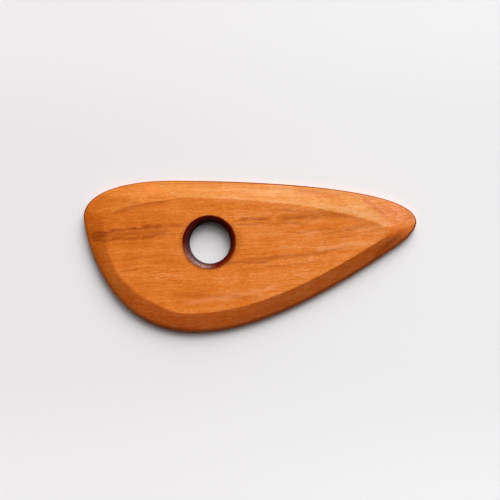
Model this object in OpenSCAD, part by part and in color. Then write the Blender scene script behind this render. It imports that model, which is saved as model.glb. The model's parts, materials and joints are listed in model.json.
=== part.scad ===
// A pottery rib: a hand-held shaping blade, sawn from one board of hardwood.
// It lies on its flat underside at Z = 0. The upper face has a bevel all round.
// X runs along the grain, from the round heel on the left to the tip on the right.
// Y runs from the belly, which has the long working edge, to the gently curved back.
// Places along the outline are measured from the heel's end and from the line of the back.

/* [Blade] */
// Length from the heel to the tip
blade_length = 140; // [115:1:180]
// Width from the belly to the back
blade_width = 64; // [54:1:80]
// Thickness of the board
board_thickness = 6.4; // [5:0.1:12]
// Width of the small chamfer round the underside
edge_ease = 0.4; // [0.2:0.1:0.8]

/* [Outline] */
// How far the heel's end lies below the back
heel_drop = 15.2; // [10:0.1:20]
// Where the back is highest, from the heel's end
back_peak_from_heel = 37.5; // [30:0.5:50]
// How far the tip lies below the back
tip_drop = 17.5; // [12:0.1:20]
// Where the nose runs out into the working edge, back from the tip
nose_length = 10.5; // [8:0.1:14]
// How far the nose falls from the tip to the working edge
nose_fall = 11.8; // [9:0.1:14]
// Slope of the working edge where it leaves the nose, in degrees
working_edge_slope = 34.4; // [31:0.2:38]
// Where the belly is lowest, from the heel's end
belly_from_heel = 46.5; // [38:0.5:60]

/* [Edge] */
// Thickness of the edge that the bevel leaves at the heel
heel_edge = 4.4; // [1.5:0.1:5]
// The same along the back
back_edge = 2.5; // [1.5:0.1:4]
// The same at the tip
tip_edge = 3.5; // [1.5:0.1:4.5]
// The same where the nose meets the working edge
working_edge = 2.6; // [1.2:0.1:4]
// The same at the belly
belly_edge = 2.9; // [1.2:0.1:4]

/* [Bevel] */
// Width of the bevel at the heel
heel_bevel = 8.8; // [5:0.1:12]
// Width of the bevel along the back
back_bevel = 7.4; // [4:0.1:10]
// Width of the bevel at the tip
tip_bevel = 12.4; // [9:0.1:16]
// Width of the bevel where the nose meets the working edge
working_bevel = 6.3; // [4:0.1:8]
// Width of the bevel at the belly
belly_bevel = 8.2; // [5:0.1:11]
// How far the end of the flat lies below the tip's height
flat_end_drop = 3.9; // [2:0.1:6]
// Direction of the flat's short end, in degrees from the blade's length
flat_end_slope = 73; // [60:1:85]

/* [Finger hole] */
// Diameter of the hole's straight wall
hole_diameter = 17.5; // [14:0.1:20]
// Centre of the hole, from the heel's end
hole_from_heel = 53; // [45:0.5:60]
// Centre of the hole, below the back
hole_from_back = 26.2; // [24:0.1:30]
// Width of the sloping rim on the upper face, cut at 45 degrees
upper_rim = 2.4; // [1:0.1:2.8]
// Width of the sloping rim on the underside, cut at 45 degrees
lower_rim = 1; // [0.4:0.1:1.4]

/* [Hidden] */

// Points on each stretch of an outline
stretch_points = 24;
// How far a cutter runs past the face that it opens
overcut = 1;
// Sides of the round cutters
round_sides = 96;

heel_x = -blade_length / 2;
tip_x = blade_length / 2;
back_y = blade_width / 2;
belly_y = -blade_width / 2;
heel_y = back_y - heel_drop;
tip_y = back_y - tip_drop;
edge_heading = 180 + working_edge_slope;
nose_end = [tip_x - nose_length, tip_y - nose_fall];

// A knot holds a point, the heading there, and how far the curve keeps to that heading
// before and after the point, as a share of the way to its neighbour.
outer_knots = [
    [[heel_x, heel_y], 90, 0.10, 0.19],
    [[heel_x + back_peak_from_heel, back_y], 0, 0.65, 0.16],
    [[tip_x, tip_y], -90, 0.16, 0.31],
    [nose_end, edge_heading, 0.28, 0.62],
    [[heel_x + belly_from_heel, belly_y], 180, 0.15, 0.56],
];
flat_knots = [
    [[heel_x + heel_bevel, heel_y], 90, 0.60, 0.10],
    [[heel_x + back_peak_from_heel, back_y - back_bevel], 0, 0.10, 0.60],
    [[tip_x - tip_bevel, tip_y - flat_end_drop], -180 + flat_end_slope, 0.03, 0.20],
    [nose_end + working_bevel * ahead(edge_heading - 90), edge_heading, 0.20, 0.10],
    [[heel_x + belly_from_heel, belly_y + belly_bevel], 180, 0.38, 0.16],
];

// Thickness of the edge at each of the outer knots
edge_steps = [heel_edge, back_edge, tip_edge, working_edge, belly_edge];

function ahead(heading) = [cos(heading), sin(heading)];

function bezier(a, b, c, d, t) =
    pow(1 - t, 3) * a + 3 * pow(1 - t, 2) * t * b + 3 * (1 - t) * t * t * c + pow(t, 3) * d;

// The curve from one knot up to the next, without the next knot itself.
function stretch(from, to) =
    let (way = norm(to[0] - from[0]),
         leave = from[0] + from[3] * way * ahead(from[1]),
         arrive = to[0] - to[2] * way * ahead(to[1]))
    [for (i = [0 : stretch_points - 1]) bezier(from[0], leave, arrive, to[0], i / stretch_points)];

// A closed outline through the knots, clockwise as seen from above.
function outline(knots) =
    [for (i = [0 : len(knots) - 1]) each stretch(knots[i], knots[(i + 1) % len(knots)])];

// The same outline moved inwards by a small width.
function drawn_in(points, width) =
    let (count = len(points))
    [for (i = [0 : count - 1])
        let (along = points[(i + 1) % count] - points[(i + count - 1) % count])
        points[i] + width * [along.y, -along.x] / norm(along)];

function at_height(points, z) = [for (p = points) [p.x, p.y, z]];

// The same points, each at its own height.
function at_heights(points, levels) =
    [for (i = [0 : len(points) - 1]) [points[i].x, points[i].y, levels[i]]];

// Heights that pass smoothly from one knot's to the next, level at every knot.
function eased(steps) =
    [for (i = [0 : len(steps) - 1], k = [0 : stretch_points - 1])
        let (t = k / stretch_points, rise = steps[(i + 1) % len(steps)] - steps[i])
        steps[i] + rise * t * t * (3 - 2 * t)];

// A closed skin through outlines that lie one above the other, lowest first.
module skin(rings) {
    count = len(rings[0]);
    top = len(rings) - 1;
    lid = [for (i = [0 : count - 1]) top * count + i];
    base = [for (i = [0 : count - 1]) count - 1 - i];
    sides = [for (ring = [0 : top - 1], i = [0 : count - 1])
        let (low = ring * count, j = (i + 1) % count)
        each [[low + i, low + j, low + count + j], [low + i, low + count + j, low + count + i]]];
    polyhedron(points = [for (ring = rings) each ring], faces = concat([lid, base], sides));
}

module blade() {
    edge = outline(outer_knots);
    skin([
        at_height(drawn_in(edge, edge_ease), 0),
        at_height(edge, edge_ease),
        at_heights(edge, eased(edge_steps)),
        at_height(outline(flat_knots), board_thickness),
    ]);
}

// Everything that is cut away for the finger hole: the straight wall and both rims.
module finger_hole() {
    wall = hole_diameter / 2;
    translate([heel_x + hole_from_heel, back_y - hole_from_back, 0]) {
        translate([0, 0, -overcut])
            cylinder(r = wall, h = board_thickness + 2 * overcut, $fn = round_sides);
        translate([0, 0, board_thickness - upper_rim])
            cylinder(r1 = wall, r2 = wall + upper_rim + overcut, h = upper_rim + overcut, $fn = round_sides);
        translate([0, 0, -overcut])
            cylinder(r1 = wall + lower_rim + overcut, r2 = wall, h = lower_rim + overcut, $fn = round_sides);
    }
}

module rib() {
    color("peru") difference() {
        blade();
        finger_hole();
    }
}

rib();
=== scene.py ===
"""A pottery rib of oiled cherry on a pale table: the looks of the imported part.

The rib is one piece of wood, so one closed surface stands for the part's only node. Its sizes are
in millimetres, as in the part's source, and become metres as the mesh is put into Blender. X runs
along the grain, from the round heel to the tip, and Y from the belly to the back.
"""

import json
import logging
import math
from dataclasses import dataclass
from enum import Enum
from functools import reduce

import bpy
import numpy as np
from numpy.typing import NDArray
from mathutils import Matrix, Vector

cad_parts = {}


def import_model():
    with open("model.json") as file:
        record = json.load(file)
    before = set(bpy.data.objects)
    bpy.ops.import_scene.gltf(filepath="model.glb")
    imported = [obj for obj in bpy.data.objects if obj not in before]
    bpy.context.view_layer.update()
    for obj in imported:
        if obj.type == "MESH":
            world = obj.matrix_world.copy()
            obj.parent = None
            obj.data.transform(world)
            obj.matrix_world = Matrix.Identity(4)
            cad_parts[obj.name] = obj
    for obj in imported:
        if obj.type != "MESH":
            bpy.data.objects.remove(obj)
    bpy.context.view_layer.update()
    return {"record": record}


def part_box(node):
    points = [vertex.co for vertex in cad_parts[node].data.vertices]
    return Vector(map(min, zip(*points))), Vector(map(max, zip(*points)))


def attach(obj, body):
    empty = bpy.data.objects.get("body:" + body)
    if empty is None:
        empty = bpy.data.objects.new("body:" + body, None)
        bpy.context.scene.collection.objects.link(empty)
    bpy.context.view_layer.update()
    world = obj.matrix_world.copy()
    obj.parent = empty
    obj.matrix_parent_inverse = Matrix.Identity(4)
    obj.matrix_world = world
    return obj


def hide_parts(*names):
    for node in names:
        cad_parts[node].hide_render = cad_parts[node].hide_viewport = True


MM = 0.001

Array = NDArray[np.float64]
Colour = tuple[float, float, float]
Stretch = tuple[float, float, float]
Socket = bpy.types.NodeSocket

log = logging.getLogger("pottery_rib")


def screen_colour(red: int, green: int, blue: int) -> Colour:
    """Turns a colour as it looks on screen into the linear one that a material wants.

    Args:
        red: Red from 0 to 255.
        green: Green from 0 to 255.
        blue: Blue from 0 to 255.

    Returns:
        The linear colour, by the usual screen curve: a straight toe, then a power of 2.4.
    """
    parts = [value / 255 for value in (red, green, blue)]
    return tuple(p / 12.92 if p <= 0.04045 else ((p + 0.055) / 1.055) ** 2.4 for p in parts)


def direction(degrees: Array | float) -> Array:
    """Unit vectors in the plane, one for each heading in degrees."""
    turn = np.radians(degrees)
    return np.stack([np.cos(turn), np.sin(turn)], axis=-1)


def ease(value: Array, low: float, high: float) -> Array:
    """Rises smoothly from 0 at low to 1 at high: 3t squared less 2t cubed, t being the share of the way."""
    share = np.clip((value - low) / (high - low), 0.0, 1.0)
    return share * share * (3 - 2 * share)


def near_heading(ways: Array, heading: float, start: float, full: float) -> Array:
    """How nearly each of some directions points to a heading, from 0 to 1.

    Args:
        ways: The directions, one to a row.
        heading: The heading, in degrees.
        start: Cosine of the angle at which the share rises from 0.
        full: Cosine of the angle at which it reaches 1.

    Returns:
        The share for each direction.
    """
    return np.interp(ways @ direction(heading), (start, full), (0.0, 1.0))


@dataclass(frozen=True)
class Knot:
    """A point that a closed outline passes through, clockwise as seen from above.

    Attributes:
        place: The point, from the middle of the blade.
        arrive: Heading of the curve as it comes in, in degrees.
        leave: Heading as it goes on, which is another one at a corner.
        back: How far the curve keeps to its heading before the knot, as a share of the way.
        ahead: The same after the knot.
        foot: Where the bevel's straight line from this knot meets the outer outline.
    """

    place: tuple[float, float]
    arrive: float
    leave: float
    back: float
    ahead: float
    foot: tuple[float, float] = (0.0, 0.0)


@dataclass(frozen=True)
class Station:
    """How the blade was worked at a place on its outer outline.

    Attributes:
        place: The place, from the middle of the blade.
        edge: Height of the upright edge that the bevel leaves there.
        softness: How far the line between the flat and the bevel is rounded off there.
    """

    place: tuple[float, float]
    edge: float
    softness: float


class Outline:
    """A closed curve through knots, with an even run of fine points to measure it by."""

    fine_points = 400

    def __init__(self, knots: list[Knot]) -> None:
        """Lays out the curve.

        Args:
            knots: The knots in order, clockwise.
        """
        self.knots = knots
        stretches = [self._stretch(a, b) for a, b in zip(knots, knots[1:] + knots[:1])]
        points = np.vstack(stretches + [stretches[0][:1]])
        steps = np.linalg.norm(np.diff(points, axis=0), axis=1)
        self.points = points
        self.travelled = np.concatenate([[0.0], np.cumsum(steps)])
        self.length = float(self.travelled[-1])

    def _stretch(self, start: Knot, end: Knot) -> Array:
        """The curve from one knot up to the next.

        A cubic curve whose two middle points lie on the headings of its ends, each at its knot's
        share of the straight way between the two.

        Args:
            start: The knot it leaves.
            end: The knot it runs to, which is not among the points.

        Returns:
            Points of the curve, one to a row.
        """
        first, last = np.array(start.place), np.array(end.place)
        way = np.linalg.norm(last - first)
        second = first + start.ahead * way * direction(start.leave)
        third = last - end.back * way * direction(end.arrive)
        t = np.linspace(0, 1, self.fine_points, endpoint=False)[:, None]
        u = 1 - t
        return u**3 * first + 3 * u * u * t * second + 3 * u * t * t * third + t**3 * last

    def knot_travel(self) -> Array:
        """How far along the curve each knot lies, with the whole length last."""
        return self.travelled[:: self.fine_points]

    def at(self, travel: Array) -> Array:
        """Points at given distances along the curve, past the end as well."""
        travel = np.mod(travel, self.length)
        return np.stack([np.interp(travel, self.travelled, self.points[:, k]) for k in (0, 1)], axis=-1)

    def travel_of(self, place: tuple[float, float]) -> float:
        """How far along the curve its nearest point to a place lies."""
        gaps = np.linalg.norm(self.points[:-1] - np.array(place), axis=1)
        return float(self.travelled[int(np.argmin(gaps))])


@dataclass
class Row:
    """One ring of the grid, and what its finish needs to know.

    Attributes:
        place: The ring's points, in millimetres.
        scorch: How far heat or grime has darkened the wood there, from 0 to 1.
        bevel: 1 on the bevel and 0 on the flat.
    """

    place: Array
    scorch: Array | float = 0.0
    bevel: Array | float = 0.0


@dataclass(frozen=True)
class Scorching:
    """How far heat and grime have darkened each part of the blade, from 0 to 1.

    Attributes:
        wall: The straight wall of the hole.
        lower_rim: The rim of the hole on the underside.
        underside: The wood right beside that rim.
        upper_rim: The top of the upper rim: most of the way round, and at its spared side.
        spared_side: Heading of that side from the hole, in degrees.
        beside_rim: The flat right beside the upper rim.
        shoulder: The shoulder of the outer edge: on the belly's side, and on the back's.
        onset: How far down the shoulder it begins on each, as a share of the way.
        clean_side: Heading of the stretch at the heel that the saw hardly browned.
        clean: How much of the shoulder's scorch is missing there.
        foot: The foot of the outer edge.
        grime: The bevel's outer border, where the hand leaves its dirt.
        grimy_side: Heading of the stretch of the outline that has the most of it.
        grimy_width: Width of that border, in millimetres.
    """

    wall: float = 1.0
    lower_rim: float = 0.85
    underside: float = 0.5
    upper_rim: tuple[float, float] = (0.60, 0.30)
    spared_side: float = -30.0
    beside_rim: float = 0.15
    shoulder: tuple[float, float] = (0.165, 0.36)
    onset: tuple[float, float] = (-0.08, 0.33)
    clean_side: float = 205.0
    clean: float = 0.85
    foot: float = 0.10
    grime: float = 0.085
    grimy_side: float = 60.0
    grimy_width: float = 2.2


@dataclass
class Rib:
    """The wooden blade, as one closed surface round its finger hole.

    The surface is a grid. One parameter runs round the outline, and the other up the wall of the
    hole, out over the upper face and the bevel, down the edge, and back under the underside.

    Attributes:
        length: From the heel to the tip.
        width: From the belly to the back.
        thickness: Of the board.
        hole_place: Middle of the finger hole.
        hole_radius: Of the hole's straight wall.
        edge_round: Radius between the bevel and the upright edge.
        edge_ease: Radius between the upright edge and the underside.
        crown: How far the bevel's middle swells above a straight line.
        lean: How far the foot of the hole lies off its top, as its cutter stood.
        rim_shift: How far the upper rim's outer circle lies off the hole, cut by hand as it is.
        upper_rim: Width and depth of the hole's upper rim.
        lower_rim: Width and depth of its lower rim.
        flare: Slope of the upper rim at its throat and at its top, in degrees.
        halo: Width of the ring beside the upper rim that the cutter browned.
        lower_halo: The same beside the lower rim.
        flat_margin: How far inside its outline the open part of the flat ends.
        underside_margin: The same on the underside, from the outer outline.
        pitch: Distance between the columns of the grid.
        heat: How dark each part is.
    """

    length: float
    width: float
    thickness: float
    hole_place: tuple[float, float]
    hole_radius: float
    edge_round: float = 0.9
    edge_ease: float = 0.4
    crown: float = 0.15
    lean: tuple[float, float] = (0.24, -0.08)
    rim_shift: tuple[float, float] = (-0.13, 0.13)
    upper_rim: float = 2.4
    lower_rim: float = 1.0
    flare: tuple[float, float] = (86.0, 24.0)
    halo: float = 0.2
    lower_halo: float = 0.15
    flat_margin: float = 1.6
    underside_margin: float = 0.9
    pitch: float = 0.42
    heat: Scorching = Scorching()

    def outer_knots(self) -> list[Knot]:
        """Knots of the outer outline, from the heel over the back to the tip and the belly."""
        heel, tip, back, belly = -self.length / 2, self.length / 2, self.width / 2, -self.width / 2
        return [
            Knot((heel, back - 15.2), 90, 90, 0.10, 0.19),
            Knot((heel + 37.5, back), 0, 0, 0.65, 0.16),
            Knot((tip, back - 17.5), -90, -90, 0.16, 0.31),
            Knot((tip - 10.5, back - 29.3), 214.4, 214.4, 0.28, 0.62),
            Knot((heel + 46.5, belly), 180, 180, 0.15, 0.56),
        ]

    def flat_knots(self) -> list[Knot]:
        """Knots of the flat's outline, with the feet of the ridges that start at its corners."""
        return [
            Knot((-61.1, 10.3), 100, 100, 0.35, 0.38, foot=(-69.2, 8.9)),
            Knot((-30.2, 24.6), 14, 1, 0.36, 0.18, foot=(-41.6, 31.6)),
            Knot((57.0, 12.5), -22, -100, 0.33, 0.20, foot=(69.8, 14.3)),
            Knot((56.4, 8.1), -100, 213, 0.20, 0.55, foot=(65.1, 6.7)),
            Knot((-26.2, -23.9), 180, 180, 0.21, 0.55, foot=(-24.6, -32.0)),
            Knot((-34.4, -22.3), 165, 157, 0.31, 0.55, foot=(-41.6, -27.4)),
        ]

    def stations(self) -> list[Station]:
        """The edge is thin where the clay is cut and thick where the hand holds the heel."""
        return [
            Station((-69.8, 15.5), 4.5, 0.45),
            Station((-69.1, 20.0), 4.5, 0.12),
            Station((-61.5, 27.4), 4.4, 0.06),
            Station((-56.8, 29.1), 3.7, 0.05),
            Station((-49.6, 30.8), 3.0, 0.05),
            Station((-41.2, 31.6), 2.4, 0.05),
            Station((0.5, 31.2), 2.6, 0.08),
            Station((31.3, 28.6), 2.8, 0.08),
            Station((61.7, 22.3), 3.4, 0.08),
            Station((69.8, 14.6), 3.5, 0.06),
            Station((69.4, 12.8), 3.4, 0.60),
            Station((67.8, 9.9), 3.2, 1.25),
            Station((66.0, 7.6), 3.1, 1.00),
            Station((64.4, 6.1), 2.9, 0.15),
            Station((56.7, 1.7), 2.9, 0.08),
            Station((30.5, -15.2), 2.8, 0.08),
            Station((-8.3, -30.4), 2.9, 0.08),
            Station((-39.1, -28.7), 3.2, 0.10),
            Station((-55.5, -16.9), 4.0, 0.26),
            Station((-65.4, -1.4), 4.3, 0.12),
            Station((-68.0, 5.0), 4.4, 0.15),
        ]

    def build(self) -> bpy.types.Object:
        """Works out the grid and makes the object.

        Returns:
            The rib, with attributes that its finish reads.
        """
        flat, edge, height, softness = self._columns()
        rows = self._rows(flat, edge, height, softness)
        places = np.stack([row.place for row in rows])
        levels, count = places.shape[:2]
        index = np.arange(levels * count).reshape(levels, count)
        above, beside = np.roll(index, -1, axis=0), np.roll(index, -1, axis=1)
        corner = np.roll(above, -1, axis=1)
        quads = np.stack([index, beside, corner, above], axis=-1).reshape(-1, 4)
        masks = {
            "scorch": np.stack([np.broadcast_to(row.scorch, count) for row in rows]),
            "bevel": np.stack([np.broadcast_to(row.bevel, count) for row in rows]),
            "facing": np.broadcast_to(outward(edge)[:, 1], (levels, count)),
        }
        rib = make_object("rib_wood", places.reshape(-1, 3), quads, masks)
        log.info("rib_wood: %d columns, %d rows", count, levels)
        return rib

    def _columns(self) -> tuple[Array, Array, Array, Array]:
        """Pairs the flat's outline with the outer one.

        Along each stretch of the flat the columns are evenly spaced. Their feet on the outer
        outline are joined by straight lines between the knots' feet, then smoothed, so that the
        bevel has a ridge only where the flat has a corner.

        Returns:
            The flat's points, the outer outline's points, the height of the edge and the softness
            of the flat's outline, one row for each column.
        """
        inner, outer = Outline(self.flat_knots()), Outline(self.outer_knots())
        starts = inner.knot_travel()
        feet = np.array([outer.travel_of(knot.foot) for knot in inner.knots])
        if feet[0] > feet[1]:
            feet[0] -= outer.length
        feet = np.append(feet, feet[0] + outer.length)
        spans = np.maximum(np.diff(starts), np.diff(feet))
        counts = np.ceil(spans / self.pitch).astype(int)
        shares = np.concatenate([k + np.arange(n) / n for k, n in enumerate(counts)])
        travel = np.interp(shares, np.arange(len(starts)), starts)
        reach = smoothed(np.interp(shares, np.arange(len(feet)), feet), 2, outer.length)
        stations = self.stations()
        stops = [outer.travel_of(station.place) for station in stations]
        worked = np.array([[station.edge, station.softness] for station in stations])
        height, softness = (
            smoothed(np.interp(reach, stops, values, period=outer.length), 6)[:, None]
            for values in worked.T
        )
        return inner.at(travel), outer.at(reach), height, softness

    def _rows(self, flat: Array, edge: Array, height: Array, softness: Array) -> list[Row]:
        """The rows of the grid, from the hole's throat over the top and round to the underside.

        Args:
            flat: Points of the flat's outline.
            edge: Points of the outer outline, one for each of the flat's.
            height: Height of the edge at each.
            softness: Softness of the flat's outline at each.

        Returns:
            The rows, whose last joins the first.
        """
        centre = np.array(self.hole_place)
        away = edge - centre
        away /= np.linalg.norm(away, axis=1)[:, None]
        return [
            *self._hole_wall(centre, away),
            *self._upper_face(centre, away, flat, edge),
            *self._bevel_and_edge(flat, edge, height, softness),
            *self._underside(centre, away, edge),
        ]

    def _hole_wall(self, centre: Array, away: Array) -> list[Row]:
        """The wall of the hole, upwards: a small lower rim, the straight part, and a flared rim.

        The flare is a quarter of an oval, steep at the throat and flatter at the top. The scorch
        fades up it, most on the side that the cutter spared.

        Args:
            centre: Middle of the hole.
            away: Direction of each column from the middle.

        Returns:
            The rows from the lower rim's edge to the upper rim's.
        """
        rows = []
        foot = centre + np.array(self.lean)
        for share in np.linspace(0, 1, 5)[1:]:
            radius = self.hole_radius + self.lower_rim * (1 - share)
            rows.append(Row(lift(foot + radius * away, self.lower_rim * share), self.heat.lower_rim))
        straight = self.thickness - self.upper_rim
        for share in np.linspace(0, 1, 6)[1:-1]:
            height = self.lower_rim + share * (straight - self.lower_rim)
            middle = foot + share * (centre - foot)
            rows.append(Row(lift(middle + self.hole_radius * away, height), self.heat.wall))
        tilt = np.radians(np.linspace(*self.flare, 16))
        run, rise = np.cumsum(np.cos(tilt)), np.cumsum(np.sin(tilt))
        run, rise = self.upper_rim * run / run[-1], self.upper_rim * rise / rise[-1]
        spared = near_heading(away, self.heat.spared_side, 0.0, 1.0)
        least = np.interp(spared, (0.0, 1.0), self.heat.upper_rim)
        for out, up, share in zip(run, rise, np.linspace(1, 0, len(run))):
            middle = centre + (1 - share) * np.array(self.rim_shift)
            ring = lift(middle + (self.hole_radius + out) * away, straight + up)
            rows.append(Row(ring, least + (self.heat.wall - least) * share**0.8))
        return rows

    def _upper_face(self, centre: Array, away: Array, flat: Array, edge: Array) -> list[Row]:
        """The flat, from the rim of the hole to just inside its outline.

        Args:
            centre: Middle of the hole.
            away: Direction of each column from the middle.
            flat: Points of the flat's outline.
            edge: Points of the outer outline.

        Returns:
            The rows, outwards.
        """
        rim = centre + np.array(self.rim_shift) + (self.hole_radius + self.upper_rim + self.halo) * away
        way = edge - flat
        last = flat - self.flat_margin * way / np.linalg.norm(way, axis=1)[:, None]
        rows = [Row(lift(rim, self.thickness), self.heat.beside_rim)]
        for share in np.linspace(0, 1, 14)[1:]:
            rows.append(Row(lift(rim + share * (last - rim), self.thickness)))
        return rows

    def _bevel_and_edge(self, flat: Array, edge: Array, height: Array, softness: Array) -> list[Row]:
        """The bevel and the upright edge, down to the underside.

        The bevel falls along straight lines from the flat to the edge. Near the flat its height
        is a soft minimum of the two: the fall is s ln(1 + exp(d / s)), where d is the distance
        past the line and s the softness. Where s is large, the bend lies further out. A parabola
        adds the crown. The bevel's mask steps from 0 to 1 across the same bend, and its outer
        border is grimy on one side.

        Args:
            flat: Points of the flat's outline.
            edge: Points of the outer outline.
            height: Height of the edge at each.
            softness: Softness of the flat's outline at each.

        Returns:
            The rows, outwards and then down.
        """
        way = edge - flat
        span = np.linalg.norm(way, axis=1)[:, None]
        way = way / span
        drop = self.thickness - height
        later = 2 * np.maximum(softness - 0.5, 0)
        full = softness * np.log1p(np.exp((span - later) / softness))

        def top(distance: Array) -> Array:
            """Height of the upper surface at a distance past the flat's outline."""
            fall = softness * np.log1p(np.exp((distance - later) / softness))
            share = np.clip(distance / span, 0, 1)
            return self.thickness - drop * fall / full + 4 * self.crown * share * (1 - share)

        def ring(distance: Array, scorch: Array | float = 0.0) -> Row:
            """The row at a distance past the flat's outline."""
            bevel = 1 / (1 + np.exp((later - distance) / softness))
            return Row(np.hstack([flat + distance * way, top(distance)]), scorch, bevel[:, 0])

        normal = outward(edge)
        grimy = self.heat.grime * near_heading(normal, self.heat.grimy_side, 0.60, 0.85)
        steps = (-1.1, -0.7, -0.45, -0.28, -0.15, -0.05, 0.05, 0.15, 0.28, 0.45, 0.7, 1.1)
        rows = [ring(np.full_like(span, step)) for step in steps]
        stop = span - 2 * self.edge_round
        for share in np.linspace(0, 1, 18)[1:]:
            distance = steps[-1] + share * (stop - steps[-1])
            rows.append(ring(distance, grimy * ease((distance - stop)[:, 0], -self.heat.grimy_width, 0.0)))
        slope = (drop + 4 * self.crown) / span
        corner = np.hstack([edge, top(stop) - slope * 2 * self.edge_round])
        return rows + self._edge_wall(edge, normal, height, rows[-1].place, corner, grimy)

    def _edge_wall(self, edge: Array, normal: Array, height: Array, first: Array, corner: Array,
                   grimy: Array) -> list[Row]:
        """The rounded shoulder of the edge, its upright wall and its eased lower corner.

        The shoulder turns from the bevel's slope to upright as a curve with one control point,
        at the corner where bevel and wall would meet. The saw browned it more on the back's side
        than on the belly's, and next to nothing at the lower side of the heel.

        Args:
            edge: Points of the outer outline.
            normal: The outward direction at each.
            height: Height of the edge at each.
            first: Where the shoulder begins.
            corner: Where the bevel would meet the wall.
            grimy: How dark the bevel has become at the shoulder.

        Returns:
            The rows, downwards.
        """
        last = np.hstack([edge, height - self.edge_round])
        belly_to_back = (-0.8, 0.2)
        onset_length = 0.3
        clean = self.heat.clean * near_heading(normal, self.heat.clean_side, 0.80, 0.95)
        burnt = (1 - clean) * np.interp(normal[:, 1], belly_to_back, self.heat.shoulder)
        onset = np.interp(normal[:, 1], belly_to_back, self.heat.onset)
        rows = []
        for t in np.linspace(0, 1, 12)[1:]:
            curve = (1 - t) ** 2 * first + 2 * t * (1 - t) * corner + t * t * last
            rows.append(Row(curve, np.maximum(grimy, burnt * ease(t - onset, 0.0, onset_length)), 1.0))
        for share in np.linspace(0, 1, 5)[1:]:
            level = last[:, 2:] * (1 - share) + self.edge_ease * share
            scorch = burnt + (self.heat.foot - burnt) * share**0.5
            rows.append(Row(np.hstack([edge, level]), scorch, 1.0))
        for turn in np.linspace(0, 90, 6)[1:]:
            inset, level = self.edge_ease * (1 - direction(turn))
            rows.append(Row(lift(edge - inset * normal, level), self.heat.foot))
        return rows

    def _underside(self, centre: Array, away: Array, edge: Array) -> list[Row]:
        """The flat underside, from the edge in to the lower rim of the hole.

        Args:
            centre: Middle of the hole.
            away: Direction of each column from the middle.
            edge: Points of the outer outline.

        Returns:
            The rows, inwards.
        """
        rim = centre + np.array(self.lean) + (self.hole_radius + self.lower_rim) * away
        way = rim - edge
        outside = edge + self.underside_margin * way / np.linalg.norm(way, axis=1)[:, None]
        rows = [Row(lift(outside, 0.0))]
        for share in np.linspace(0, 1, 12)[1:-1]:
            rows.append(Row(lift(outside + share * (rim - outside), 0.0)))
        rows.append(Row(lift(rim + self.lower_halo * away, 0.0)))
        rows.append(Row(lift(rim, 0.0), self.heat.underside))
        return rows


def smoothed(values: Array, half: int, lap: float = 0.0) -> Array:
    """Averages a closed run of values over their neighbours.

    Args:
        values: The values round the outline.
        half: How many neighbours count on each side.
        lap: What the values gain in one lap.

    Returns:
        The averages.
    """
    run = np.concatenate([values[-half:] - lap, values, values[:half] + lap])
    return np.convolve(run, np.full(2 * half + 1, 1 / (2 * half + 1)), mode="valid")


def outward(points: Array) -> Array:
    """Unit directions out of a closed clockwise run of points: its tangent, turned to the left.

    Args:
        points: The points, one to a row.

    Returns:
        The direction at each.
    """
    tangent = np.roll(points, -1, axis=0) - np.roll(points, 1, axis=0)
    normal = np.stack([-tangent[:, 1], tangent[:, 0]], axis=-1)
    return normal / np.linalg.norm(normal, axis=1)[:, None]


def lift(points: Array, height: float) -> Array:
    """Puts plane points at one height."""
    return np.column_stack([points, np.full(len(points), height)])


def make_object(name: str, points: Array, quads: Array, masks: dict[str, Array]) -> bpy.types.Object:
    """Makes a smooth mesh object of a grid.

    Args:
        name: The object's name.
        points: Its points, in millimetres.
        quads: Four point numbers for each face.
        masks: Attributes of the points, by name.

    Returns:
        The object, at the origin, with its place in its mesh.
    """
    mesh = bpy.data.meshes.new(name)
    mesh.from_pydata((points * MM).tolist(), [], quads.tolist())
    mesh.shade_smooth()
    for key, values in masks.items():
        attribute = mesh.attributes.new(key, "FLOAT", "POINT")
        attribute.data.foreach_set("value", values.astype(np.float32).ravel())
    mesh.update()
    made = bpy.data.objects.new(name, mesh)
    bpy.context.scene.collection.objects.link(made)
    return made


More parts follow.
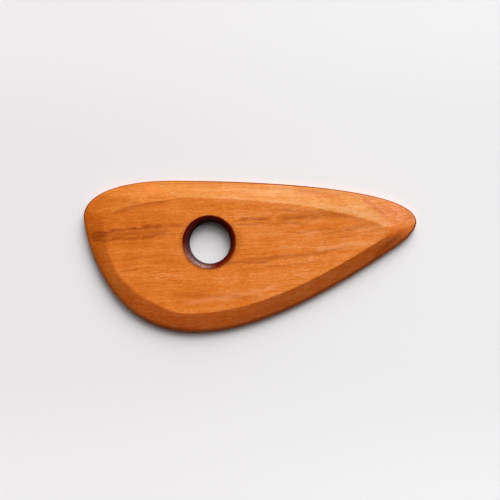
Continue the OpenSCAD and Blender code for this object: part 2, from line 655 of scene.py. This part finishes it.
class Graph:
    """A node tree, with short calls that fill it and hand back the outputs."""

    def __init__(self, tree: bpy.types.NodeTree) -> None:
        """Takes an empty tree.

        Args:
            tree: A material's, a world's or a group's tree.
        """
        self.tree = tree

    def node(self, kind: str, inputs: dict | None = None, **settings: object) -> bpy.types.Node:
        """Adds a node.

        Args:
            kind: The node's type in Blender.
            inputs: What each of its inputs gets: a number, a colour or another node's output.
            settings: The node's own settings.

        Returns:
            The node.
        """
        made = self.tree.nodes.new(kind)
        for key, value in settings.items():
            setattr(made, key, value)
        for key, value in (inputs or {}).items():
            self.feed(made.inputs[key], value)
        return made

    def feed(self, target: Socket, value: object) -> None:
        """Links an output to an input, or writes a number, vector or colour there.

        Args:
            target: The input.
            value: The output, number, vector or colour.
        """
        if isinstance(value, bpy.types.NodeSocket):
            self.tree.links.new(value, target)
        elif target.type == "RGBA":
            target.default_value = (*value, 1.0)
        else:
            target.default_value = value

    def math(self, operation: str, a: object, b: object = 0.0) -> Socket:
        """What an operation makes of two numbers."""
        return self.node("ShaderNodeMath", {0: a, 1: b}, operation=operation).outputs[0]

    def vector(self, operation: str, a: object, b: object = (0.0, 0.0, 0.0)) -> Socket:
        """What an operation makes of two vectors."""
        return self.node("ShaderNodeVectorMath", {0: a, 1: b}, operation=operation).outputs[0]

    def plus(self, *values: object) -> Socket:
        """The sum of several numbers."""
        return reduce(lambda a, b: self.math("ADD", a, b), values)

    def times(self, *values: object) -> Socket:
        """The product of several numbers."""
        return reduce(lambda a, b: self.math("MULTIPLY", a, b), values)

    def parts(self, place: Socket) -> bpy.types.bpy_prop_collection:
        """The X, Y and Z of a vector."""
        return self.node("ShaderNodeSeparateXYZ", {0: place}).outputs

    def attribute(self, name: str) -> Socket:
        """A number that each point of the mesh carries."""
        return self.node("ShaderNodeAttribute", attribute_name=name).outputs["Fac"]

    def noise(self, place: Socket, stretch: Stretch, detail: float = 3.0, rough: float = 0.55) -> Socket:
        """A cloudy pattern.

        Args:
            place: Where it is looked up.
            stretch: How many of its waves a unit of length holds, along each axis.
            detail: How many finer layers it has.
            rough: How strong those are.

        Returns:
            The pattern, from 0 to 1.
        """
        inputs = {"Vector": self.vector("MULTIPLY", place, stretch), "Scale": 1.0,
                  "Detail": detail, "Roughness": rough}
        return self.node("ShaderNodeTexNoise", inputs).outputs["Fac"]

    def swing(self, pattern: Socket, reach: float) -> Socket:
        """A pattern as a swing either way: what it has over a half, times the reach."""
        return self.times(self.math("SUBTRACT", pattern, 0.5), reach)

    def spread(self, value: object, low: float, high: float, to_low: float = 0.0,
               to_high: float = 1.0, smooth: bool = True) -> Socket:
        """Spreads one range of values over another, held at its ends.

        Args:
            value: The value.
            low: The first range's start.
            high: Its end, which may lie below its start.
            to_low: The second range's start.
            to_high: Its end.
            smooth: Whether the change is eased at both ends.

        Returns:
            The value in the second range.
        """
        inputs = {"Value": value, "From Min": low, "From Max": high, "To Min": to_low, "To Max": to_high}
        kind = "SMOOTHSTEP" if smooth else "LINEAR"
        return self.node("ShaderNodeMapRange", inputs, interpolation_type=kind).outputs["Result"]

    def blend(self, share: object, a: object, b: object, how: str = "MIX") -> Socket:
        """Mixes two colours.

        Args:
            share: How much of the second comes in.
            a: The first.
            b: The second.
            how: What the second does to the first, such as MULTIPLY.

        Returns:
            The mixture.
        """
        made = self.node("ShaderNodeMix", data_type="RGBA", blend_type=how)
        colours = [s for s in made.inputs if s.type == "RGBA"]
        self.feed(made.inputs["Factor"], share)
        self.feed(colours[0], a)
        self.feed(colours[1], b)
        return next(s for s in made.outputs if s.type == "RGBA")


def new_material(name: str) -> tuple[bpy.types.Material, Graph]:
    """A material with nothing in it yet.

    Args:
        name: Its name.

    Returns:
        The material, and the graph that fills it.
    """
    material = bpy.data.materials.new(name)
    material.use_nodes = True
    material.node_tree.nodes.clear()
    return material, Graph(material.node_tree)


@dataclass(frozen=True)
class FigureLine:
    """A darker or paler line of the wood's figure.

    Attributes:
        start: Its left end, in millimetres.
        end: Its right end.
        bow: How far its middle rises above the straight way.
        width: Half its width.
        strength: How dark it is, or how pale if it is less than 0.
    """

    start: tuple[float, float]
    end: tuple[float, float]
    bow: float
    width: float
    strength: float


# The board's dark streaks, and at the end its pale ones, wherever they run.
FIGURE = (
    FigureLine((-69.0, 9.2), (-33.0, 13.2), 0.3, 1.0, 1.00),
    FigureLine((-45.0, 11.4), (-36.0, 12.8), 0.2, 1.3, 0.95),
    FigureLine((-68.0, 6.4), (-38.0, 8.3), -0.1, 0.9, 0.90),
    FigureLine((-66.0, 8.0), (-31.0, 10.8), 0.2, 3.0, 0.66),
    FigureLine((-67.5, 8.0), (-58.5, 8.6), 0.2, 2.8, 0.90),
    FigureLine((-40.0, 12.4), (-26.0, 12.4), 0.4, 1.3, 0.50),
    FigureLine((-34.0, 9.8), (-27.0, 9.8), 0.1, 0.6, 0.40),
    FigureLine((-6.0, 15.4), (10.0, 15.6), 0.2, 1.0, 0.75),
    FigureLine((6.0, 19.4), (44.0, 16.6), 0.7, 1.2, 0.52),
    FigureLine((10.0, 15.6), (42.0, 17.2), 0.5, 2.0, 0.64),
    FigureLine((-14.0, 12.6), (26.0, 14.0), 0.5, 0.8, 0.45),
    FigureLine((30.0, 8.8), (54.0, 13.4), 0.5, 1.4, 0.38),
    FigureLine((36.0, 7.6), (57.0, 11.6), 0.2, 1.0, 0.32),
    FigureLine((14.0, 9.6), (38.0, 11.6), 0.2, 0.6, 0.40),
    FigureLine((-12.0, -2.8), (10.0, -1.6), -0.2, 1.2, 0.62),
    FigureLine((-6.0, -1.2), (44.0, 4.6), -1.4, 1.5, 0.56),
    FigureLine((4.0, -4.6), (32.0, -1.4), -0.3, 1.0, 0.36),
    FigureLine((-56.0, -6.3), (-39.0, -4.8), 0.1, 0.5, 0.75),
    FigureLine((-36.0, -16.6), (8.0, -17.4), 0.4, 1.6, 0.35),
    FigureLine((-52.0, -1.0), (-30.0, 0.8), 0.2, 0.9, 0.30),
    FigureLine((-66.5, 9.6), (-58.5, 10.2), 0.1, 0.9, 1.20),
    FigureLine((-66.0, 6.8), (-58.0, 6.9), 0.1, 1.0, 1.10),
    FigureLine((-58.5, 7.3), (-51.5, 7.9), 0.0, 0.8, 1.00),
    FigureLine((-49.5, 7.1), (-44.0, 7.3), 0.1, 0.7, 0.95),
    FigureLine((-45.5, 8.2), (-38.5, 8.8), 0.0, 0.7, 0.95),
    FigureLine((-45.0, 12.4), (-36.0, 13.1), 0.1, 0.9, 1.20),
    FigureLine((51.4, -0.6), (64.2, 10.4), 0.0, 2.3, 0.62),
    FigureLine((-30.0, -19.8), (18.0, -10.4), -1.2, 2.0, -0.50),
    FigureLine((26.0, 2.6), (52.0, 6.2), 0.2, 2.0, -0.75),
    FigureLine((-4.0, 8.2), (16.0, 10.6), 0.3, 2.0, -0.25),
    FigureLine((-20.0, 24.6), (40.0, 20.6), 0.4, 1.8, -0.35),
    FigureLine((-8.0, 27.4), (30.0, 25.2), 0.0, 3.0, -0.42),
)

# Dark lines on the flat, right beside the back's bevel.
BESIDE_BEVEL = (
    FigureLine((-59.8, 16.9), (-32.0, 23.8), 1.4, 2.2, 0.38),
    FigureLine((26.0, 19.8), (60.0, 10.4), 1.3, 1.8, 0.27),
)

# A painted highlight: a pale line on that bevel, where it meets the flat.
HIGHLIGHT_BESIDE_FLAT = (FigureLine((34.0, 20.6), (64.0, 11.0), 1.3, 1.8, 0.30),)

# The reddish flush of the wood towards the tip.
FLUSH = (
    FigureLine((46.5, 24.4), (58.0, 16.8), 0.0, 2.4, 0.60),
    FigureLine((53.0, 21.8), (63.0, 17.4), 0.0, 2.0, 0.45),
    FigureLine((43.0, 26.6), (54.0, 24.2), 0.3, 1.4, 0.45),
    FigureLine((18.0, 27.8), (40.0, 24.6), 0.2, 1.6, 0.36),
)


@dataclass(frozen=True)
class OiledCherry:
    """The finish of the rib: oiled cherry, scorched where the cutter went, with painted light and shade.

    Attributes:
        pale: Colour of the early wood.
        middle: Its common colour.
        dark: Colour of the late wood.
        figure: Colour of the dark lines of the figure and of the pores.
        toast: Colour where the heat only browned it.
        burnt: Colour of the scorched rim.
        char: Colour of the black wall.
        oil: Weight of the oil's thin coat.
        roughness: Roughness of the oiled surface.
        lit_wall_gloss: Weight of the coat on the side of the hole's wall that faces the lamp, so that the
            lamp's sheen shows there alone.
        grain_rise: Rise of the grain towards the tip, as a slope.
        grain_bend: How much that slope gains in a millimetre.
        lit_side_of_hole: Heading of the side of the hole that faces the lamp, in degrees, where its rim is
            painted lighter and coated.
        facet_slope: How steeply the bevel's last facet begins, past which its painted sheen grows: X
            against Y along its ridge.
        painted_belly_shade: What multiplies the colour of the bevel on the belly's side, which faces away
            from the lamp: painted shade.
        cut: The same painted shade along the working edge, darker still.
        dust: Colour of the clay that stays in that bevel's grain.
        painted_back_sheen: What multiplies it on the back's side, which faces the lamp: a painted sheen,
            paler and less red.
        heel_tint: What multiplies it at the heel, a little darker and yellower.
        flush: What multiplies the wood where it is flushed red.
        painted_tip_sheen: What multiplies the bevel on the back's side next to the tip: more of that
            painted sheen.
    """

    pale: Colour = screen_colour(242, 160, 100)
    middle: Colour = screen_colour(220, 122, 43)
    dark: Colour = screen_colour(196, 90, 12)
    figure: Colour = screen_colour(140, 50, 2)
    toast: Colour = screen_colour(120, 52, 18)
    burnt: Colour = screen_colour(86, 14, 4)
    char: Colour = screen_colour(46, 34, 36)
    oil: float = 0.16
    roughness: float = 0.45
    lit_wall_gloss: float = 0.85
    grain_rise: float = 0.05
    grain_bend: float = 0.0003
    lit_side_of_hole: float = 232.0
    facet_slope: float = 1.63
    painted_belly_shade: Colour = (0.965, 0.74, 0.62)
    cut: Colour = (0.77, 0.55, 0.36)
    dust: Colour = screen_colour(186, 124, 92)
    painted_back_sheen: Colour = (0.81, 1.02, 1.24)
    heel_tint: Colour = (0.88, 0.91, 0.78)
    flush: Colour = (0.76, 0.46, 0.50)
    painted_tip_sheen: Colour = (1.08, 0.91, 1.15)

    def make(self, hole: tuple[float, float], hole_radius: float) -> bpy.types.Material:
        """Builds the material.

        Args:
            hole: Middle of the finger hole, which the scorch marks of its wall run round.
            hole_radius: Radius of that wall.

        Returns:
            The material, one principled shader fed by masks.
        """
        material, graph = new_material("oiled_cherry")
        place, along, across = self._grain_place(graph)
        colour, pores, threads = self._wood(graph, place, along, across)
        colour = self._bevel_tint(graph, colour, place, threads)
        scorch, stripes, lit_rim = self._scorch(graph, place, hole, hole_radius)
        colour = self._burn(graph, colour, scorch, stripes, lit_rim)
        rough = graph.plus(self.roughness, graph.times(pores, 0.12))
        height = graph.plus(graph.times(pores, -1.0), graph.times(stripes, scorch, 2.0))
        bump = graph.node("ShaderNodeBump", {"Strength": 0.25, "Distance": 0.0001, "Height": height})
        oiled = graph.spread(scorch, 0.1, 0.5, self.oil, 0.0)
        # The coat goes only on the side of the hole's wall that faces the lamp, so that the lamp's sheen
        # shows there and nowhere else.
        lit_wall_coat = graph.times(lit_rim, self.lit_wall_gloss, graph.spread(stripes, 0.42, 0.60, 0.35, 1.5))
        shader = graph.node("ShaderNodeBsdfPrincipled", {
            "Base Color": colour,
            "Roughness": rough,
            "Specular IOR Level": 0.0,
            "Coat Weight": graph.plus(oiled, lit_wall_coat),
            "Coat Roughness": 0.4,
            "Normal": bump.outputs["Normal"],
        })
        graph.node("ShaderNodeOutputMaterial", {"Surface": shader.outputs["BSDF"]})
        return material

    def _grain_place(self, graph: Graph) -> tuple[Socket, Socket, Socket]:
        """Places in millimetres, with the grain's slow waves taken out of Y.

        The grain climbs towards the tip by a small slope and a smaller bend, and sways by two
        slow patterns.

        Args:
            graph: The material's tree.

        Returns:
            The plain place, and the distances along and across the grain.
        """
        source = graph.node("ShaderNodeTexCoord").outputs["Object"]
        place = graph.vector("MULTIPLY", source, (1 / MM,) * 3)
        along, across = graph.parts(place)[:2]
        climb = graph.times(along, graph.plus(self.grain_rise, graph.times(along, self.grain_bend)))
        sway = graph.noise(place, (0.03, 0.05, 0.05), 2.0)
        wave = graph.noise(place, (0.11, 0.25, 0.25), 2.0)
        level = graph.math("SUBTRACT", across, climb)
        return place, along, graph.plus(level, graph.times(sway, 3.0), graph.times(wave, 0.9))

    def _wood(self, graph: Graph, place: Socket, along: Socket,
              across: Socket) -> tuple[Socket, Socket, Socket]:
        """The wood's own colour, its pores and its finest threads.

        Each pattern is drawn out along the grain. Together they say how light the wood is, from
        the late wood's colour over the common one to the early wood's, darker at the heel. Lines,
        flecks and pores come on top.

        Args:
            graph: The material's tree.
            place: Places in millimetres.
            along: Distance along the grain.
            across: Distance across it.

        Returns:
            The colour, a mask of the pores, and the pattern of the threads.
        """
        depth = graph.parts(place)[2]
        fibre = graph.node("ShaderNodeCombineXYZ", {0: along, 1: across, 2: depth}).outputs[0]
        bands = graph.noise(fibre, (0.012, 0.22, 0.3))
        streaks = graph.noise(fibre, (0.05, 0.8, 0.8), 3.0, 0.6)
        threads = graph.noise(fibre, (0.22, 1.9, 1.9), 3.0, 0.7)
        dashes = graph.noise(fibre, (0.30, 2.4, 2.4), 1.0)
        flecks = graph.noise(fibre, (0.42, 1.7, 1.7), 2.0, 0.6)
        specks = graph.noise(fibre, (0.95, 2.1, 2.1), 2.0, 0.7)
        patches = graph.noise(place, (0.13, 0.10, 0.10))
        pores = graph.spread(dashes, 0.58, 0.76)
        reaches = ((bands, 0.8), (streaks, 1.0), (threads, 1.1), (specks, 1.0), (patches, 0.7))
        tone = graph.plus(
            *(graph.swing(pattern, reach) for pattern, reach in reaches),
            graph.spread(along, -65.0, 40.0, -0.28, 0.12, smooth=False),
            graph.spread(along, -66.0, -56.0, -0.25, 0.0),
        )
        colour = graph.blend(graph.spread(tone, -0.75, 0.0, smooth=False), self.dark, self.middle)
        colour = graph.blend(graph.spread(tone, 0.0, 0.75, smooth=False), colour, self.pale)
        ragged = graph.times(graph.spread(threads, 0.3, 0.6, 0.3, 1.15),
                             graph.spread(streaks, 0.3, 0.65, 0.6, 1.1))
        darker = self._figure(graph, place, streaks, tuple(line for line in FIGURE if line.strength > 0))
        paler = self._figure(graph, place, streaks, tuple(line for line in FIGURE if line.strength < 0))
        fleck = graph.times(graph.spread(flecks, 0.58, 0.75), 0.35)
        flushed = self._figure(graph, place, streaks, FLUSH)
        colour = graph.blend(graph.math("MAXIMUM", graph.times(paler, 0.7), fleck), colour, self.pale)
        colour = graph.blend(flushed, colour, self.flush, "MULTIPLY")
        colour = graph.blend(graph.times(darker, ragged, 0.85), colour, self.figure)
        colour = graph.blend(graph.times(pores, 0.3), colour, self.figure)
        return colour, pores, threads

    def _bevel_tint(self, graph: Graph, colour: Socket, place: Socket, threads: Socket) -> Socket:
        """Tints the wood by where it lies: on the bevel, or on the flat beside it.

        The belly's side faces away from the lamp: it gets painted shade, darkest along the working
        edge, and clay dust in its grain. The back's side faces the lamp: it gets a painted sheen,
        paler and less red, most of all past the ridge where its last facet begins, and more again
        towards the tip. The flat is darker in lines beside that bevel, which has a painted highlight
        where it meets the flat. The heel's bevel is a little darker and yellower. Ranges are
        millimetres along the blade from its middle.

        Args:
            graph: The material's tree.
            colour: The wood's colour.
            place: Places in millimetres.
            threads: The finest pattern of the grain.

        Returns:
            The tinted colour.
        """
        along, across = graph.parts(place)[:2]
        bevel, facing = graph.attribute("bevel"), graph.attribute("facing")
        flat = graph.math("SUBTRACT", 1.0, bevel)
        beside = graph.times(self._figure(graph, place, threads, BESIDE_BEVEL), flat)
        # Painted highlight on the back's bevel, beside the flat.
        lit = graph.times(self._figure(graph, place, threads, HIGHLIGHT_BESIDE_FLAT), bevel)

        below = graph.times(bevel, graph.spread(facing, 0.1, -0.85))
        dusty = graph.times(below, graph.spread(threads, 0.42, 0.70, 0.0, 0.22),
                            graph.spread(along, 10.0, 30.0, 1.0, 0.3))
        # Painted shade: the bevel on the belly's side faces away from the lamp and is darkened, most along
        # the working edge.
        belly = graph.times(below, graph.spread(along, -62.0, -45.0, 0.7, 1.0))
        painted_belly_shade = graph.blend(graph.spread(along, -20.0, 15.0), self.painted_belly_shade, self.cut)

        # Painted sheen: the bevel on the back's side faces the lamp and is made paler and less red, more
        # past the ridge of its last facet, and more again next to the tip.
        facet = graph.plus(along, graph.times(across, self.facet_slope))
        paler = graph.plus(graph.spread(along, -64.0, -46.0, 0.0, 0.55),
                           graph.spread(facet, 6.5, 10.5, 0.0, 0.45))
        back = graph.times(bevel, graph.spread(facing, -0.1, 0.25), paler)
        # The bevel at the heel is made a little darker and yellower.
        heel = graph.times(bevel, graph.spread(along, -42.0, -55.0))
        tip = graph.times(back, graph.spread(along, 50.0, 62.0))

        colour = graph.blend(beside, colour, self.figure)
        colour = graph.blend(lit, colour, self.pale)
        for share, tint in ((belly, painted_belly_shade), (heel, self.heel_tint), (back, self.painted_back_sheen), (tip, self.painted_tip_sheen)):
            colour = graph.blend(share, colour, tint, "MULTIPLY")
        return graph.blend(dusty, colour, self.dust)

    def _figure(self, graph: Graph, place: Socket, streaks: Socket,
                lines: tuple[FigureLine, ...]) -> Socket:
        """The masks of some figure lines, laid over each other.

        Args:
            graph: The material's tree.
            place: Places in millimetres.
            streaks: A pattern along the grain that makes the lines waver.
            lines: The lines.

        Returns:
            The strongest mask at each place.
        """
        slow = graph.noise(place, (0.16, 0.5, 0.5))
        x, level = graph.parts(place)[:2]
        y = graph.plus(level, graph.swing(slow, 2.6), graph.swing(streaks, 1.2))
        total: object = 0.0
        for line in lines:
            group = graph.node("ShaderNodeGroup", node_tree=figure_group())
            values = {"X": x, "Y": y, "Start X": line.start[0], "Start Y": line.start[1],
                      "End X": line.end[0], "End Y": line.end[1], "Bow": line.bow, "Width": line.width}
            for key, value in values.items():
                graph.feed(group.inputs[key], value)
            total = graph.math("MAXIMUM", total, graph.times(group.outputs["Mask"], abs(line.strength)))
        return total

    def _scorch(self, graph: Graph, place: Socket, hole: tuple[float, float],
                hole_radius: float) -> tuple[Socket, Socket, Socket]:
        """How burnt each place is, and the upright marks of the cutter on the walls.

        The marks are noise on the direction from the hole's middle, so they run straight up its
        wall, and noise on X and Y alone, which does the same on the outer edge.

        Args:
            graph: The material's tree.
            place: Places in millimetres.
            hole: Middle of the finger hole.
            hole_radius: Radius of its wall.

        Returns:
            The scorch from 0 to 1, the marks from 0 to 1, and a mask of the side of the hole's
            wall that faces the lamp, which gets painted light and a coat for the lamp's sheen.
        """
        level = graph.attribute("scorch")
        flatwise = graph.vector("MULTIPLY", place, (1.0, 1.0, 0.03))
        middle = graph.vector("SUBTRACT", flatwise, (*hole, 0.0))
        span = graph.node("ShaderNodeVectorMath", {0: middle}, operation="LENGTH").outputs["Value"]
        around = graph.vector("NORMALIZE", middle)
        ring = graph.noise(around, (2.2 * hole_radius,) * 3, 3.0, 0.7)
        spots = graph.noise(place, (2.0,) * 3, 1.0)
        side = graph.spread(graph.noise(flatwise, (1.4,) * 3, 3.0, 0.7), 0.0, 1.0, 0.35, 0.65, smooth=False)
        inside = graph.math("LESS_THAN", span, 1.5 * hole_radius)
        stripes = graph.plus(graph.times(graph.plus(ring, spots), 0.5, inside),
                             graph.times(side, graph.math("SUBTRACT", 1.0, inside)))
        uneven = graph.spread(stripes, 0.3, 0.7, -0.10, 0.10)
        scorch = graph.plus(level, graph.times(uneven, graph.spread(level, 0.0, 0.2)))
        # The side of the hole's wall that faces the lamp: painted lighter in _burn, and coated so that the
        # lamp's sheen shows there.
        lamp_facing = (*direction(self.lit_side_of_hole), 0.0)
        towards = graph.node("ShaderNodeVectorMath", {0: around, 1: lamp_facing}, operation="DOT_PRODUCT")
        lit_rim = graph.spread(towards.outputs["Value"], 0.50, 0.97)
        return scorch, stripes, graph.times(lit_rim, inside, graph.spread(level, 0.4, 0.6))

    def _burn(self, graph: Graph, colour: Socket, scorch: Socket, stripes: Socket,
              lit_rim: Socket) -> Socket:
        """Lays the scorch over the wood: brown first, then maroon, then black.

        The cutter's marks stay maroon in the black. On the side of the hole that faces the lamp
        the rim is painted lighter, back towards brown: painted light.

        Args:
            graph: The material's tree.
            colour: The wood's colour.
            scorch: How burnt each place is.
            stripes: The cutter's marks.
            lit_rim: The side of the hole's wall that faces the lamp, where the rim is painted lighter.

        Returns:
            The colour of it all.
        """
        reddened = graph.spread(scorch, 0.3, 0.6)
        colour = graph.blend(graph.spread(scorch, 0.0, 0.32), colour, self.toast)
        colour = graph.blend(reddened, colour, self.burnt)
        colour = graph.blend(graph.spread(scorch, 0.62, 0.98), colour, self.char)
        colour = graph.blend(graph.times(graph.spread(stripes, 0.45, 0.75), reddened), colour, self.burnt)
        # Painted light: the rim on the side that faces the lamp is made lighter, back towards brown.
        lit_rim_brown = graph.times(lit_rim, graph.spread(scorch, 0.60, 0.85, 0.9, 0.0))
        return graph.blend(lit_rim_brown, colour, self.toast)


def figure_group() -> bpy.types.NodeTree:
    """A group that draws one soft line, bowed like a low arch, fading at both ends.

    The line's height is the straight way between its ends plus four times the bow times t(1 - t),
    where t is the share of the way. The mask falls smoothly from 1 on the line to 0 a width away.

    Returns:
        The group, which is made once.
    """
    name = "figure_line"
    if name in bpy.data.node_groups:
        return bpy.data.node_groups[name]
    tree = bpy.data.node_groups.new(name, "ShaderNodeTree")
    for key in ("X", "Y", "Start X", "Start Y", "End X", "End Y", "Bow", "Width"):
        tree.interface.new_socket(key, in_out="INPUT", socket_type="NodeSocketFloat")
    tree.interface.new_socket("Mask", in_out="OUTPUT", socket_type="NodeSocketFloat")
    graph = Graph(tree)
    given = graph.node("NodeGroupInput").outputs
    run = graph.math("SUBTRACT", given["End X"], given["Start X"])
    share = graph.math("DIVIDE", graph.math("SUBTRACT", given["X"], given["Start X"]), run)
    rise = graph.times(share, graph.math("SUBTRACT", given["End Y"], given["Start Y"]))
    arch = graph.times(share, graph.math("SUBTRACT", 1.0, share), 4.0, given["Bow"])
    middle = graph.plus(given["Start Y"], rise, arch)
    gap = graph.math("ABSOLUTE", graph.math("SUBTRACT", given["Y"], middle))
    near = graph.spread(graph.math("DIVIDE", gap, given["Width"]), 0.0, 1.0, 1.0, 0.0)
    fade = graph.times(graph.spread(share, 0.0, 0.15), graph.spread(share, 0.8, 1.0, 1.0, 0.0))
    graph.node("NodeGroupOutput", {"Mask": graph.times(near, fade)})
    return tree


@dataclass(frozen=True)
class PaleTable:
    """The table top, a little paler towards the right and far from the rib, as a soft light
    leaves it.

    Attributes:
        left: Colour at the left of the picture.
        right: Colour at its right.
        far: What multiplies them at the top and at the bottom of the picture.
        half_width: Half the width of the picture, in millimetres.
        plain: Share of that half, up and down from the middle, where the far tone hasn't begun.
        half_size: Half the side of the table, in metres.
    """

    left: Colour = screen_colour(231, 230, 232)
    right: Colour = screen_colour(236, 236, 237)
    far: float = 1.06
    half_width: float = 105.0
    plain: float = 0.4
    half_size: float = 60.0

    def build(self) -> bpy.types.Object:
        """Makes the table top as a square at height 0.

        Returns:
            The object, with its material.
        """
        sides = np.array([-1.0, 1.0]) * self.half_size / MM
        x, y = np.meshgrid(sides, sides)
        points = np.stack([x.ravel(), y.ravel(), np.zeros(4)], axis=-1)
        table = make_object("table_top", points, np.array([[0, 1, 3, 2]]), {})
        table.data.materials.append(self._material())
        log.info("table_top: %.0f m square", 2 * self.half_size)
        return table

    def _material(self) -> bpy.types.Material:
        """The matt paint, with its slow change of tone along X and Y.

        Returns:
            The material.
        """
        material, graph = new_material("pale_table")
        x, y = graph.parts(graph.node("ShaderNodeTexCoord").outputs["Object"])[:2]
        half = self.half_width * MM
        share = graph.spread(x, -half, half)
        off = graph.spread(graph.math("ABSOLUTE", y), self.plain * half, half)
        shader = graph.node("ShaderNodeBsdfPrincipled", {
            "Base Color": graph.blend(off, graph.blend(share, self.left, self.right),
                                      (self.far,) * 3, "MULTIPLY"),
            "Roughness": 0.9,
            "Specular IOR Level": 0.0,
        })
        graph.node("ShaderNodeOutputMaterial", {"Surface": shader.outputs["BSDF"]})
        return material


class Side(Enum):
    """Where the soft lamp stands, as the heading of its light's source in degrees."""

    BACK_RIGHT = 74.0


@dataclass(frozen=True)
class Studio:
    """One large soft lamp, faint light from all round, and the camera overhead.

    Attributes:
        lamp_side: Heading of the lamp, seen from above.
        lamp_height: Its height above the horizon, in degrees.
        lamp_layers: How wide its bright middle and its faint surround look from the table, in
            degrees, each with its share of the light.
        ambient: Share of the table's light that comes from all round.
        ambient_colour: Colour of that light, which a room's wood and walls have warmed.
        backdrop: What the camera and the gloss see past the table.
        camera_height: Of the camera above the table, in millimetres.
        camera_place: Where it looks straight down.
        view_width: Width of the picture, at the height of the rib's edge.
        view_level: That height.
    """

    lamp_side: Side = Side.BACK_RIGHT
    lamp_height: float = 33.5
    lamp_layers: tuple[tuple[float, float], ...] = ((44.0, 0.55), (92.0, 0.45))
    ambient: float = 0.065
    ambient_colour: Colour = (1.15, 0.96, 0.90)
    backdrop: Colour = screen_colour(235, 234, 234)
    camera_height: float = 480.0
    camera_place: tuple[float, float] = (-0.08, 2.7)
    view_width: float = 210.9
    view_level: float = 2.4

    def build(self) -> None:
        """Makes the lamp, the world and the camera."""
        self._lamp()
        self._world()
        self._camera()

    def _lamp(self) -> None:
        """A distant lamp, as strong as gives the table the rest of its light.

        A surface of colour c in light of strength s at height h shows c times s sin(h) / pi.
        """
        strength = math.pi * (1 - self.ambient) / math.sin(math.radians(self.lamp_height))
        tilt = math.radians(90 - self.lamp_height)
        for spread, share in self.lamp_layers:
            data = bpy.data.lights.new("soft_lamp", "SUN")
            data.angle = math.radians(spread)
            data.energy = strength * share
            lamp = bpy.data.objects.new("soft_lamp", data)
            lamp.rotation_euler = (0, tilt, math.radians(self.lamp_side.value))
            bpy.context.scene.collection.objects.link(lamp)
            log.info("soft_lamp: %.0f degrees wide, strength %.2f", spread, data.energy)

    def _world(self) -> None:
        """Faint light for the object, and a pale sky for the camera and for reflections."""
        world = bpy.data.worlds.new("studio")
        world.use_nodes = True
        world.node_tree.nodes.clear()
        graph = Graph(world.node_tree)
        rays = graph.node("ShaderNodeLightPath").outputs
        seen = graph.math("MAXIMUM", rays["Is Camera Ray"], rays["Is Glossy Ray"])
        seen = graph.math("MAXIMUM", seen, rays["Is Transmission Ray"])
        glow = tuple(self.ambient * part for part in self.ambient_colour)
        faint = graph.node("ShaderNodeBackground", {"Color": glow}).outputs[0]
        pale = graph.node("ShaderNodeBackground", {"Color": self.backdrop}).outputs[0]
        mix = graph.node("ShaderNodeMixShader", {0: seen, 1: faint, 2: pale})
        graph.node("ShaderNodeOutputWorld", {"Surface": mix.outputs[0]})
        bpy.context.scene.world = world

    def _camera(self) -> None:
        """Looks straight down, its lens set so that the picture has its width at the rib's edge."""
        data = bpy.data.cameras.new("overhead")
        half = self.view_width / 2 / (self.camera_height - self.view_level)
        data.lens = data.sensor_width / 2 / half
        camera = bpy.data.objects.new("overhead", data)
        x, y = self.camera_place
        camera.location = (x * MM, y * MM, self.camera_height * MM)
        bpy.context.scene.collection.objects.link(camera)
        bpy.context.scene.camera = camera
        log.info("overhead camera: lens %.1f mm", data.lens)


def main() -> None:
    """Builds the rib, its finish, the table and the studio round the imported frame."""
    logging.basicConfig(level=logging.INFO, format="%(name)s: %(message)s")
    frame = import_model()
    length, width, thickness = ((high - low) / MM for low, high in zip(*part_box("rib")))
    bore = next(m for m in frame["record"]["mounts"] if m["name"] == "finger_hole")
    hole = (bore["pos_m"][0] / MM, bore["pos_m"][1] / MM)

    rib = Rib(length, width, thickness, hole, bore["dims"]["r_mm"])
    wood = rib.build()
    wood.data.materials.append(OiledCherry().make(rib.hole_place, rib.hole_radius))
    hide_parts("rib")
    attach(wood, "root")
    PaleTable().build()

    Studio().build()
    bpy.context.scene.view_settings.view_transform = "Standard"


if __name__ == "__main__":
    main()
